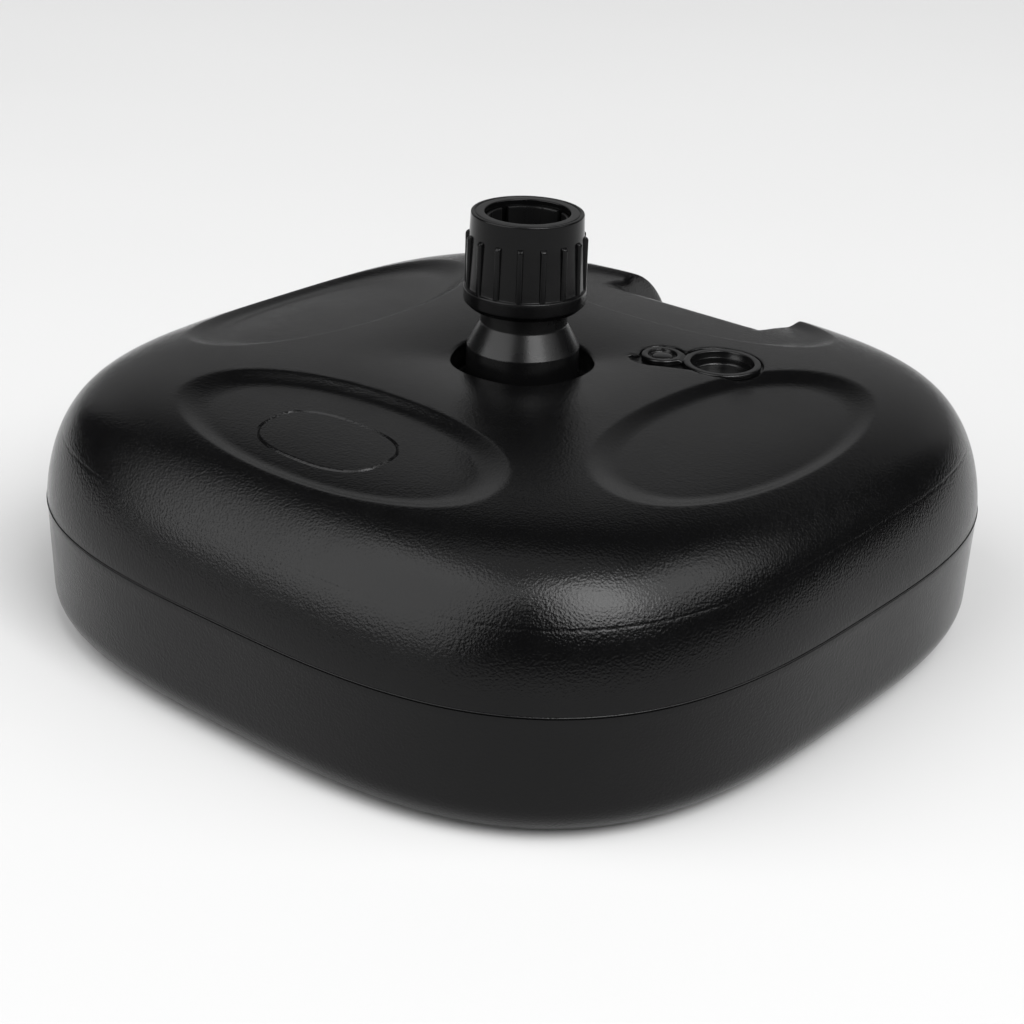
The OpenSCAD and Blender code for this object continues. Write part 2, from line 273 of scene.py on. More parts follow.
class Shape:
    """Points and faces of one piece, in millimetres."""

    def __init__(self):
        self.points, self.faces, self.count = [], [], 0

    def add(self, points):
        """Adds points and returns their numbers."""
        points = np.asarray(points, float)
        self.points.append(points)
        self.count += len(points)
        return np.arange(self.count - len(points), self.count)

    def sheet(self, sheet, points, flip=False):
        """Adds a bent sheet; returns the numbers of its points."""
        ids = self.add(points)
        tri = ids[sheet.triangles]
        self.faces += (tri[:, ::-1] if flip else tri).tolist()
        return ids

    def join(self, first, second):
        """Joins two closed loops of as many points."""
        quads = np.stack([first, np.roll(first, -1), np.roll(second, -1), second], 1)
        self.faces += quads[:, ::-1].tolist()
        return second

    def walls(self, loop, rings):
        """Walls from a loop through several rings of new points; returns the last loop."""
        for ring in rings:
            loop = self.join(loop, self.add(ring))
        return loop

    def solid(self, sheet, upper, lower):
        """A sheet bent twice, as the upper and the lower side, with walls along its borders."""
        top = self.sheet(sheet, upper)
        under = self.sheet(sheet, lower, flip=True)
        for loop in sheet.loops():
            self.join(top[loop], under[loop])

    def bridge(self, first, second, centre=(0, 0)):
        """Joins two loops of any length round an axis, walking both by their angle."""
        everything = np.concatenate(self.points)
        turned = []
        for loop in (first, second):
            d = everything[loop][:, :2] - np.asarray(centre)
            angle = np.unwrap(np.arctan2(d[:, 1], d[:, 0]))
            if angle[-1] < angle[0]:
                loop, angle = loop[::-1], angle[::-1]
            start = np.argmin(np.mod(angle, 2 * np.pi))
            loop = np.roll(loop, -start)
            angle = np.mod(np.roll(angle, -start), 2 * np.pi)
            turned.append((np.append(loop, loop[0]), np.append(angle, angle[0] + 2 * np.pi)))
        (a, angle_a), (b, angle_b) = turned
        i = j = 0
        while i < len(a) - 1 or j < len(b) - 1:
            if j == len(b) - 1 or (i < len(a) - 1 and angle_a[i + 1] <= angle_b[j + 1]):
                self.faces.append([int(a[i]), int(a[i + 1]), int(b[j])])
                i += 1
            else:
                self.faces.append([int(a[i]), int(b[j + 1]), int(b[j])])
                j += 1

    def grid(self, points, closed_rows=True, closed_cols=True):
        """Adds an array of points, rows x columns x 3, as a surface of quads."""
        rows, cols = points.shape[:2]
        ids = self.add(points.reshape(-1, 3)).reshape(rows, cols)
        if closed_rows:
            ids = np.concatenate([ids, ids[:1]])
        if closed_cols:
            ids = np.concatenate([ids, ids[:, :1]], 1)
        quads = np.stack([ids[:-1, :-1], ids[:-1, 1:], ids[1:, 1:], ids[1:, :-1]], 2)
        self.faces += quads.reshape(-1, 4).tolist()

    def piece(self, name, material, sharp_deg=38):
        """The Blender object, shaded smooth except along sharp edges, with its faces pointing out."""
        mesh = bpy.data.meshes.new(name)
        points = np.concatenate(self.points) * MM
        mesh.from_pydata(points.tolist(), [], self.faces)
        mesh.validate()
        obj = bpy.data.objects.new(name, mesh)
        bpy.context.scene.collection.objects.link(obj)
        outward(mesh)
        mesh.shade_smooth()
        mesh.set_sharp_from_angle(angle=math.radians(sharp_deg))
        mesh.materials.append(material)
        return obj


def outward(mesh):
    """Makes every face point out of the solid."""
    bm = bmesh.new()
    bm.from_mesh(mesh)
    bmesh.ops.remove_doubles(bm, verts=bm.verts, dist=0.002 * MM)
    bmesh.ops.dissolve_degenerate(bm, edges=bm.edges, dist=0.001 * MM)
    bmesh.ops.recalc_face_normals(bm, faces=bm.faces)
    bm.to_mesh(mesh)
    bm.free()


def outline(corners, steps=5):
    """A closed outline in radius and height: each corner is (r, z, rounding radius)."""
    points = []
    n = len(corners)
    for i, (r, z, radius) in enumerate(corners):
        here = np.array([r, z])
        to_last = np.array(corners[i - 1][:2]) - here
        to_next = np.array(corners[(i + 1) % n][:2]) - here
        len_last, len_next = np.hypot(*to_last), np.hypot(*to_next)
        to_last, to_next = to_last / len_last, to_next / len_next
        angle = math.acos(float(np.clip(to_last @ to_next, -1, 1)))
        if radius <= 0 or angle > math.pi - 0.02:
            points.append(here)
            continue
        reach = min(radius / math.tan(angle / 2), 0.49 * len_last, 0.49 * len_next)
        start, end = here + to_last * reach, here + to_next * reach
        for k in range(steps + 1):
            t = k / steps
            points.append((1 - t) ** 2 * start + 2 * t * (1 - t) * here + t * t * end)
    return np.array(points)


def finer(points, step):
    """The same closed outline with no side longer than step."""
    out = []
    for a, b in zip(points, np.roll(points, -1, axis=0)):
        n = max(1, math.ceil(float(np.hypot(*(b - a))) / step))
        out += [a + (b - a) * k / n for k in range(n)]
    return np.array(out)


def turned(profile, angles, radius=None):
    """Points of a body of revolution, rows along the profile; radius(r, z, angle) may reshape it."""
    r, z = profile[:, :1], profile[:, 1:]
    r = np.repeat(r, len(angles), 1)
    z = np.repeat(z, len(angles), 1)
    if radius:
        r = radius(r, z, angles[None, :])
    return np.stack([r * np.cos(angles), r * np.sin(angles), z], 2)


# ---- Tank ----

def plan_power(rho):
    """Superellipse power of the plan on the ring at share rho of the half width."""
    return TOP_POWER + (SEAM_POWER - TOP_POWER) * rho ** 2


def plan_r(a, p, t):
    """Radius at angle t of a superellipse with half width a and power p."""
    return a / (np.abs(np.cos(t)) ** p + np.abs(np.sin(t)) ** p) ** (1 / p)


def dome_z(rho):
    """Height of the plain top on the ring at share rho of the half width."""
    rim = (1 - rho ** RIM_POWER) ** (1 / RIM_ROOT)
    dish = np.maximum(0, 1 - rho / DISH_EDGE) ** 2
    return SEAM_H + SHOULDER_H * rim + CROWN_H * (1 - rho ** 2) - DISH_H * dish


# The domain of the top is a disc whose radius is the way along the surface from the middle
RHO = 1 - np.linspace(1, 0, 6000) ** 3
WAY = np.concatenate([[0], np.cumsum(np.hypot(HALF_W * np.diff(RHO), np.diff(dome_z(RHO))))])
SEAM_WAY = WAY[-1]


def on_dome(q):
    """Plan position, height and ring share of domain points on the plain dome."""
    t = np.arctan2(q[:, 1], q[:, 0])
    rho = np.interp(np.hypot(q[:, 0], q[:, 1]), WAY, RHO)
    r = plan_r(rho * HALF_W, plan_power(rho), t)
    return r * np.cos(t), r * np.sin(t), dome_z(rho), rho


RECESS_DEPTH = 4.4
RECESS_POS = 139.0
RECESS_HALF_L = 104.0
RECESS_HALF_W = 47.0
RECESS_POWER = 2.16
RECESS_FLARE = 0.057
RECESS_WALL_W = 10.0
RECESS_CREST = 0.76


def recess_inset(s, r):
    """How far inside a recess's outline a point is, in mm, below 0 outside it."""
    q = (r - RECESS_POS) / RECESS_HALF_W
    along = s / RECESS_HALF_L / (1 + RECESS_FLARE * np.clip(q, -2, 2))
    v = (np.abs(along) ** RECESS_POWER + np.abs(q) ** RECESS_POWER) ** (1 / RECESS_POWER)
    return (1 - v) * RECESS_HALF_W


def any_recess(x, y):
    """How far inside the nearest of the four recesses a point is."""
    return np.maximum(recess_inset(x, np.abs(y)), recess_inset(y, np.abs(x)))


def recess_drop(x, y):
    """Depth below the dome: a tight crest at the outline, a softer foot at the floor."""
    t = np.clip(any_recess(x, y) / RECESS_WALL_W, 0, 1)
    return RECESS_DEPTH * smooth(t ** RECESS_CREST)


BADGE_POS = np.array([-3.0, -145.0])
BADGE_HALF_L = 39.5
BADGE_HALF_W = 22.2
BADGE_POWER = 2.6
BADGE_LINE = 1.0
BADGE_DEPTH = 0.9


def badge_distance(x, y):
    """Signed distance to the blank oval outline on the front recess's floor, below 0 inside it."""
    u = np.abs(x - BADGE_POS[0]) / BADGE_HALF_L
    v = np.abs(y - BADGE_POS[1]) / BADGE_HALF_W
    f = np.maximum((u ** BADGE_POWER + v ** BADGE_POWER) ** (1 / BADGE_POWER), 0.2)
    steep = np.hypot((u / f) ** (BADGE_POWER - 1) / BADGE_HALF_L,
                     (v / f) ** (BADGE_POWER - 1) / BADGE_HALF_W)
    return (f - 1) / np.maximum(steep, 0.5 / BADGE_HALF_L)


GRIP_EDGE_Y = 143.0
GRIP_EDGE_Z = 138.0
GRIP_SLOPE = math.radians(38)
GRIP_HALF_W = 58.0
GRIP_DRAFT = 0.2
GRIP_CORNER_R = 10.0
GRIP_RIM_R = 2.2
GRIP_FROM_Y = 60.0  # in front of this line, the grip's channel is left out of account
GRIP_SIDE_Y = 120.0  # behind this one, edges run along its end walls
NO_GRIP = -50.0  # stands for a point well clear of the grip


def grip_wall(x):
    """Height of the grip's end walls above its sloping floor, square to that floor."""
    a = np.abs(x) - (GRIP_HALF_W - GRIP_CORNER_R)
    tip = GRIP_CORNER_R / math.hypot(1, GRIP_DRAFT)
    arc = GRIP_CORNER_R - np.sqrt(np.maximum(GRIP_CORNER_R ** 2 - np.clip(a, 0, tip) ** 2, 0))
    return arc + np.maximum(a - tip, 0) / GRIP_DRAFT


def grip_z(x, y):
    """Height of the grip's channel: a floor that slopes down to the rear, between its end walls."""
    fall = (y - GRIP_EDGE_Y) * math.tan(GRIP_SLOPE)
    return GRIP_EDGE_Z - fall + grip_wall(x) / math.cos(GRIP_SLOPE)


def grip_clearance(x, y, z):
    """How far the plain surface stands above the grip's channel; the wall's steepness is allowed for."""
    steep = np.abs(x) > GRIP_HALF_W - 0.1 * GRIP_CORNER_R
    gap = np.where(y < GRIP_FROM_Y, NO_GRIP, z - grip_z(x, y))
    return np.where(steep, gap * GRIP_DRAFT, gap)


POCKET_GAP = 1.5
ANCHOR_GAP = 1.2
POCKET_RIM_R = 0.8
POCKET_DRAFT = 0.2
PLATE_CLEAR = 0.05  # between the pocket's floor and the stopper's plate
NOTCH_R = 18.5
NOTCH_BACK = 4.0


def strap_frame(x, y):
    """Position along the strap from the anchor's axis, and across it."""
    dx, dy = x - ANCHOR_AXIS[0], y - ANCHOR_AXIS[1]
    return dx * STRAP_DIR[0] + dy * STRAP_DIR[1], dy * STRAP_DIR[0] - dx * STRAP_DIR[1]


def pocket_distance(x, y):
    """Signed distance to the outline of the stopper's pocket, below 0 inside it."""
    u, v = strap_frame(x, y)
    ring = np.hypot(u - STRAP_REACH, v) - (FLANGE_R + POCKET_GAP)
    small = np.hypot(u, v) - (ANCHOR_R + ANCHOR_GAP)
    strap = np.maximum(np.abs(v) - STRAP_W / 2 - POCKET_GAP, np.maximum(-u, u - STRAP_REACH))
    moon = np.hypot(np.minimum(u, 0), v) - NOTCH_R
    notch = np.maximum(np.maximum(moon, v + NOTCH_BACK), u - STRAP_REACH)
    return np.minimum(np.minimum(ring, small), np.minimum(strap, notch))


WITNESS_RHO = 0.9535  # place and half width of the witness line, as shares of the half width
WITNESS_HALF_W = 0.0016
WITNESS_DEPTH = 0.11
SEAM_LIP = 0.35


def tank_top(q):
    """Real place of the domain points of the tank's top."""
    x, y, z, rho = on_dome(q)
    z = z - recess_drop(x, y)
    z = z - BADGE_DEPTH * (1 - smooth(np.abs(badge_distance(x, y)) / BADGE_LINE))
    gap = np.where(y > GRIP_FROM_Y, z - grip_z(x, y), NO_GRIP)
    rim = GRIP_RIM_R * (1 + 4 * smooth((np.abs(x) - GRIP_HALF_W + 8) / 8))
    z = np.where(gap > -rim, soft_min(z, grip_z(x, y), rim), z)
    d = pocket_distance(x, y)
    floor = np.minimum(z, PLATE_LOW - PLATE_CLEAR)
    share = np.clip(-d / POCKET_DRAFT, 0, 1)
    rim_z = z - round_drop(d, POCKET_RIM_R)
    z = np.where(d > 0, rim_z, rim_z + (floor - rim_z) * share)
    witness = 1 - smooth(np.abs(rho - WITNESS_RHO) / WITNESS_HALF_W)
    pull = 1 - WITNESS_DEPTH * witness / HALF_W
    return np.stack([x * pull, y * pull, z], 1)


def in_plan(field):
    """A field of the real plan position, as a field of the domain."""
    return lambda q: field(*on_dome(q)[:2])


def outside_circle(centre, r):
    """A field of the plan that is above 0 inside the circle, so that a trim keeps what is outside."""
    return lambda x, y: r - np.hypot(x - centre[0], y - centre[1])


def find_loops(sheet, points):
    """The borders of a tank sheet: round the seam, round the well, and round the filler hole."""
    found = {}
    for loop in sheet.loops():
        middle = points[loop][:, :2].mean(0)
        reach = np.hypot(*(points[loop][:, :2] - middle).T).max()
        if reach > HALF_W / 2:
            found["seam"] = loop
        elif np.hypot(*middle) < WELL_R / 2:
            found["well"] = loop
        else:
            found["filler"] = loop
    return found


def tank_shape():
    """The hollow tank: edges follow each groove and rim, then the sheet is bent and closed with walls."""
    shape = Shape()
    sheet = Sheet(SEAM_WAY + 4, TANK_STEP)
    for share in (0, 0.08, 0.2, 0.36, 0.6, 1):
        sheet.follow(in_plan(any_recess), share * RECESS_WALL_W, 0.2)
    for share in (-1.5, -1, -0.5, 0, 0.5, 1, 1.5):
        sheet.follow(in_plan(badge_distance), share * BADGE_LINE, 0.2)
    for level in (-1.5, 0, 1.5):
        sheet.follow(lambda q: grip_clearance(*on_dome(q)[:3]), level, 0.2)
    for level in (GRIP_HALF_W - GRIP_CORNER_R, GRIP_HALF_W - 3, GRIP_HALF_W - 0.2):
        sheet.follow(in_plan(lambda x, y: np.where(y > GRIP_SIDE_Y, np.abs(x), 0)), level, 0.2)
    for level in (POCKET_RIM_R, POCKET_RIM_R / 2, POCKET_RIM_R / 8, 0, -POCKET_DRAFT):
        sheet.follow(in_plan(pocket_distance), level, 0.15)
    for share in (-2, -1, 0, 1, 2):
        sheet.follow(lambda q: on_dome(q)[3], WITNESS_RHO + share * WITNESS_HALF_W, 0.12)
    sheet.trim(lambda q: np.hypot(q[:, 0], q[:, 1]) - SEAM_WAY)
    sheet.trim(in_plan(outside_circle((0, 0), WELL_R + WELL_RIM_R)))
    sheet.trim(in_plan(outside_circle(STOPPER_AXIS, FILLER_R)))
    top = tank_top(sheet.points)
    ids = shape.sheet(sheet, top)
    loops = find_loops(sheet, top)
    bottom = tank_side(shape, ids[loops["seam"]], turn_of(top[loops["seam"]]))
    middle = tank_middle(shape, ids[loops["well"]], top[loops["well"]])
    shape.bridge(bottom, middle)
    neck = tank_neck(shape, ids[loops["filler"]], top[loops["filler"]])
    tank_inside(shape, neck)
    return shape


def quarter(steps):
    """The angles of a quarter turn in equal steps, without the first at 0."""
    return [math.pi / 2 * k / steps for k in range(1, steps + 1)]


def turn_of(points, centre=(0, 0)):
    """The angle of each point round a centre."""
    return np.arctan2(points[:, 1] - centre[1], points[:, 0] - centre[0])


def circle_ring(t, r, z, centre=(0, 0)):
    """Points at the angles t on a circle."""
    return np.stack([centre[0] + r * np.cos(t), centre[1] + r * np.sin(t), z + 0 * t], 1)


def tank_inside(shape, neck):
    """The inside of the hollow tank, a wall's thickness in from the outside."""
    sheet = Sheet(SEAM_WAY + 9, INSIDE_STEP)
    sheet.trim(lambda q: np.hypot(q[:, 0], q[:, 1]) - SEAM_WAY)
    sheet.trim(in_plan(outside_circle((0, 0), WELL_R + WALL)))
    sheet.trim(in_plan(outside_circle(STOPPER_AXIS, FILLER_R + NECK_WALL)))
    x, y, z, _ = on_dome(sheet.points)
    z = z - recess_drop(x, y) - WALL
    under_grip = grip_z(np.sign(x) * np.maximum(np.abs(x) - WALL, 0), y) - WALL / math.cos(GRIP_SLOPE)
    z = np.where(y > GRIP_EDGE_Y / 2, np.minimum(z, under_grip), z)
    z = np.where(pocket_distance(x, y) < WALL, np.minimum(z, PLATE_LOW - WALL), z)
    pull = 1 - WALL / HALF_W
    inner = np.stack([x * pull, y * pull, z], 1)
    loops = find_loops(sheet, inner)
    for hole in (loops["well"], loops["filler"]):
        inner[hole, :2] = np.stack([x[hole], y[hole]], 1)
    ids = shape.sheet(sheet, inner, flip=True)
    shape.bridge(neck, ids[loops["filler"]], STOPPER_AXIS)
    t = turn_of(inner[loops["seam"]])
    a = HALF_W - FOOT_TAPER - WALL
    r = FOOT_R - WALL
    rings = [side_ring(t, a, FOOT_R)]
    for angle in quarter(6):
        rings.append(side_ring(t, a - r * (1 - math.cos(angle)), FOOT_R - r * math.sin(angle)))
    rings.append(circle_ring(t, BRIDGE_R, WALL))
    bottom = shape.walls(ids[loops["seam"]], rings)
    t = turn_of(inner[loops["well"]])
    middle = shape.walls(ids[loops["well"]], [
        circle_ring(t, WELL_R + WALL, WELL_FLOOR - WALL),
        circle_ring(t, SOCKET_R + WALL, WELL_FLOOR - WALL),
        circle_ring(t, SOCKET_R + WALL, WALL),
        circle_ring(t, BRIDGE_INNER_R, WALL)])
    shape.bridge(bottom, middle)


def side_ring(t, a, z, power=SEAM_POWER):
    """Points at the angles t on the tank's rounded square plan."""
    r = plan_r(a, power, t)
    return np.stack([r * np.cos(t), r * np.sin(t), np.full(len(t), float(z))], 1)


def tank_side(shape, loop, t):
    """Parting line, lower wall, rounded foot and flat bottom, down to a ring round the seat hole."""
    lip = [(SEAM_LIP * 0.6, 0.05), (SEAM_LIP, -0.1), (SEAM_LIP, -0.45), (-0.3, -0.6), (-0.65, -0.9),
           (-0.3, -1.2), (-0.05, -1.35), (0.0, -1.6)]
    rings = [side_ring(t, HALF_W + dr, SEAM_H + dz) for dr, dz in lip]
    foot_a = HALF_W - FOOT_TAPER
    for z in np.linspace(SEAM_H - 5, FOOT_R, 8):
        a = HALF_W - FOOT_TAPER * (SEAM_H - z) / (SEAM_H - FOOT_R)
        rings.append(side_ring(t, a, z))
    for angle in quarter(12):
        rings.append(side_ring(t, foot_a - FOOT_R * (1 - math.cos(angle)), FOOT_R * (1 - math.sin(angle))))
    inner = foot_a - FOOT_R
    for share in (0.2, 0.4, 0.6, 0.8, 1):
        a = inner + (BRIDGE_R - inner) * share
        rings.append(side_ring(t, a, 0, SEAM_POWER + (2 - SEAM_POWER) * share))
    return shape.walls(loop, rings)


def tank_middle(shape, well_loop, well_points):
    """Well wall down from its rim, well floor, socket, seat and the hole under the tube."""
    t = turn_of(well_points)

    def ring(r, z):
        return circle_ring(t, r, z)

    z = well_points[:, 2]
    rings = []
    for angle in quarter(5):
        rings.append(ring(WELL_R + WELL_RIM_R * (1 - math.sin(angle)),
                          z - WELL_RIM_R * (1 - math.cos(angle))))
    rings.append(ring(WELL_R, WELL_FLOOR + WELL_FILLET))
    for angle in quarter(4):
        rings.append(ring(WELL_R - WELL_FILLET * (1 - math.cos(angle)),
                          WELL_FLOOR + WELL_FILLET * (1 - math.sin(angle))))
    rings += [ring(SOCKET_R + 0.8, WELL_FLOOR), ring(SOCKET_R + 0.2, WELL_FLOOR - 0.25),
              ring(SOCKET_R, WELL_FLOOR - 0.8), ring(SOCKET_R, SEAT_Z), ring(SEAT_HOLE_R, SEAT_Z),
              ring(SEAT_HOLE_R, 1.0), ring(SEAT_HOLE_R + 1, 0.0), ring(BRIDGE_INNER_R, 0.0)]
    return shape.walls(well_loop, rings)


def tank_neck(shape, loop, points):
    """Wall of the filler neck, with a rounded end inside the tank."""
    t = turn_of(points, STOPPER_AXIS)
    e = NECK_EDGE
    steps = [(0, e), (0.3 * e, 0.3 * e), (e, 0), (NECK_WALL - e, 0), (NECK_WALL - 0.3 * e, 0.3 * e),
             (NECK_WALL, e)]
    return shape.walls(loop, [circle_ring(t, FILLER_R + dr, NECK_LOW + dz, STOPPER_AXIS)
                              for dr, dz in steps])


# ---- Stand tube ----

CONE_LOW = 151.0
CONE_TOP = 164.0
NECK_R = 23.2
THREAD_R = 26.0
THREAD_ROOT_R = 24.6
THREAD_LOW = 178.0
THREAD_PITCH = 5.0
THREAD_TOP = TUBE_HIGH[2] - 1.5
THREAD_FADE = 2.0  # the thread's groove fades in and out over this height
GROOVE_HALF_W = 0.34  # half width of the groove and width of its flank, as shares of the pitch
FLANK_W = 0.16
TUBE_COLUMNS = 144
BORE_R = 20.6
TUBE_WALL = 3.0
DRAIN_R = 5.0
TUBE_RIBS = 6
TUBE_RIB_W = 2.4


def threaded(r, z, angle):
    """Cuts the screw thread into the neck: flat crests, sloping flanks and round roots."""
    turn = np.mod(z / THREAD_PITCH - angle / (2 * np.pi), 1)
    groove = smooth((GROOVE_HALF_W - np.abs(turn - 0.5)) / FLANK_W)
    run_in = smooth((z - THREAD_LOW) / THREAD_FADE) * smooth((THREAD_TOP - z) / THREAD_FADE)
    outer = (r > THREAD_R - 0.05) & (z > THREAD_LOW)
    return np.where(outer, r - (THREAD_R - THREAD_ROOT_R) * groove * run_in, r)


def tube_shape():
    """The turned tube with its thread, and the ribs that centre the pole in its lower part."""
    shape = Shape()
    inner_r = TUBE_R - TUBE_WALL
    top = TUBE_HIGH[2]
    corners = [
        (DRAIN_R, SEAT_Z, 0.4), (TUBE_R, SEAT_Z, 1.5), (TUBE_R, CONE_LOW, 1.6), (NECK_R, CONE_TOP, 2.0),
        (NECK_R, THREAD_LOW - 2, 0.5), (THREAD_R, THREAD_LOW, 0.4), (THREAD_R, top - 1, 0.3),
        (THREAD_R - 1, top, 0.3), (SLEEVE_R + 0.05, top, 0.3), (SLEEVE_R + 0.05, SLEEVE_LOW[2], 0.2),
        (BORE_R + 1, SLEEVE_LOW[2] - 0.02, 0.2), (BORE_R, SLEEVE_LOW[2] - 1, 0.3), (BORE_R, CONE_LOW, 1.0),
        (inner_r, CONE_LOW - 7, 2.0), (inner_r, SEAT_Z + TUBE_WALL, 1.0),
        (DRAIN_R, SEAT_Z + TUBE_WALL, 0.4)]
    rows = outline(corners, 6)
    # The finer rows are kept only where the thread is cut
    merged = [p for p in finer(rows, 0.45) if (p[1] > THREAD_LOW - 0.5 and p[0] > THREAD_R - 0.05)
              or (np.abs(rows - p).sum(1) < 1e-6).any()]
    angles = np.linspace(0, 2 * np.pi, TUBE_COLUMNS, endpoint=False)
    shape.grid(turned(np.array(merged), angles, threaded))
    section = outline([(BORE_R, -TUBE_RIB_W / 2, 0.9), (inner_r + 0.8, -TUBE_RIB_W / 2, 0),
                       (inner_r + 0.8, TUBE_RIB_W / 2, 0), (BORE_R, TUBE_RIB_W / 2, 0.9)])
    for k in range(TUBE_RIBS):
        turn = 2 * math.pi * k / TUBE_RIBS
        x = section[:, 0] * math.cos(turn) - section[:, 1] * math.sin(turn)
        y = section[:, 0] * math.sin(turn) + section[:, 1] * math.cos(turn)
        ends = [shape.add(np.stack([x, y, np.full(len(x), z)], 1))
                for z in (SEAT_Z + TUBE_WALL - 0.5, CONE_LOW - 4)]
        shape.join(*ends)
        shape.faces += [ends[0].tolist(), ends[1][::-1].tolist()]
    return shape


# ---- Clamp sleeve ----

SLEEVE_R = 23.35
SLEEVE_SHOULDER_Z = 205.3
SLEEVE_SHOULDER_R = 25.2
SLEEVE_TIP_R = 22.3
FINGER_BORE_R = 20.4
SLOT_W = 4.5
SLOT_LOW = 194.0
SLOT_ANGLES = (math.radians(75), math.radians(165))
SLEEVE_EDGE_R = 0.5
SHOULDER_ZS = (SLEEVE_SHOULDER_Z - 0.1, SLEEVE_SHOULDER_Z + 0.1, SLEEVE_SHOULDER_Z + 2)
RIDGE_TURN = math.radians(12)
RIDGE_HALF_W = 0.8
RIDGE_H = 0.4


def sleeve_place(q):
    """Angle and height of the sleeve's domain points."""
    return np.arctan2(q[:, 1], q[:, 0]), np.hypot(q[:, 0], q[:, 1]) - FINGER_BORE_R + SLEEVE_LOW[2]


def slot_distance(q):
    """How far the points are from the four slots, measured round the sleeve's wall."""
    t, z = sleeve_place(q)
    end = SLOT_LOW + SLOT_W / 2
    below = np.maximum(end - z, 0)
    away = [np.hypot(SLEEVE_R * np.sin(t - a), below) for a in SLOT_ANGLES]
    return np.minimum(*away) - SLOT_W / 2


def sleeve_shape():
    """The split ring: a ring-shaped sheet with four slots, bent into the outer and the inner wall."""
    height = SLEEVE_HIGH[2] - SLEEVE_LOW[2]
    sheet = Sheet(FINGER_BORE_R + height + 2, SLEEVE_STEP)

    def z_of(q):
        return sleeve_place(q)[1]

    for z in SHOULDER_ZS:
        sheet.follow(z_of, z, 0.2)
    for level in (SLEEVE_EDGE_R, SLEEVE_EDGE_R / 3):
        sheet.follow(slot_distance, level, 0.2)
        sheet.follow(z_of, SLEEVE_LOW[2] + level, 0.2)
        sheet.follow(z_of, SLEEVE_HIGH[2] - level, 0.2)
    sheet.trim(lambda q: z_of(q) - SLEEVE_HIGH[2])
    sheet.trim(lambda q: SLEEVE_LOW[2] - z_of(q))
    sheet.trim(lambda q: -slot_distance(q))
    t, z = sleeve_place(sheet.points)
    edge = np.minimum(slot_distance(sheet.points), np.minimum(z - SLEEVE_LOW[2], SLEEVE_HIGH[2] - z))
    drop = round_drop(edge, SLEEVE_EDGE_R)
    outer = np.interp(z, [*SHOULDER_ZS, SLEEVE_HIGH[2]],
                      [SLEEVE_R, SLEEVE_SHOULDER_R, SLEEVE_SHOULDER_R, SLEEVE_TIP_R]) - drop
    finger = np.mod(t - SLOT_ANGLES[0], np.pi / 2) - np.pi / 4
    ridge = 1 - smooth(np.abs(np.abs(finger) - RIDGE_TURN) * FINGER_BORE_R / RIDGE_HALF_W)
    inner = FINGER_BORE_R + drop - RIDGE_H * ridge * smooth((z - SLOT_LOW) / 6)
    shape = Shape()
    shape.solid(sheet, np.stack([outer * np.cos(t), outer * np.sin(t), z], 1),
                np.stack([inner * np.cos(t), inner * np.sin(t), z], 1))
    return shape


# ---- Clamp collar ----

COLLAR_BORE_R = 26.08
COLLAR_HOLE_R = 22.7
COLLAR_TOP_R = 29.9
COLLAR_FOOT_R = 31.4
BAND_LOW = 176.4
BAND_TOP = 183.6
BAND_R = COLLAR_HIGH[0]
CONE_START = 206.5
LIP_Z = 220.5
COLLAR_RIBS = 16
RIB_W = 3.4
RIB_R = 32.5
RIB_TOP = 212.6
RIB_TOP_R = 1.8
RIB_EDGE = 1.1


def ribbed(r, z, angle):
    """Raises the grip ribs out of the collar's wall, with rounded flanks and tops."""
    step = 2 * np.pi / COLLAR_RIBS
    off = np.abs(np.mod(angle, step) - step / 2) * COLLAR_FOOT_R
    across = np.sqrt(1 - np.clip((off - RIB_W / 2 + RIB_EDGE) / RIB_EDGE, 0, 1) ** 2)
    along = np.sqrt(1 - np.clip((z - RIB_TOP + RIB_TOP_R) / RIB_TOP_R, 0, 1) ** 2)
    outer = (r > COLLAR_TOP_R - 0.5) & (z > BAND_TOP + 0.3) & (z < COLLAR_HIGH[2] - 3)
    return np.where(outer, r + (RIB_R - r) * across * along, r)


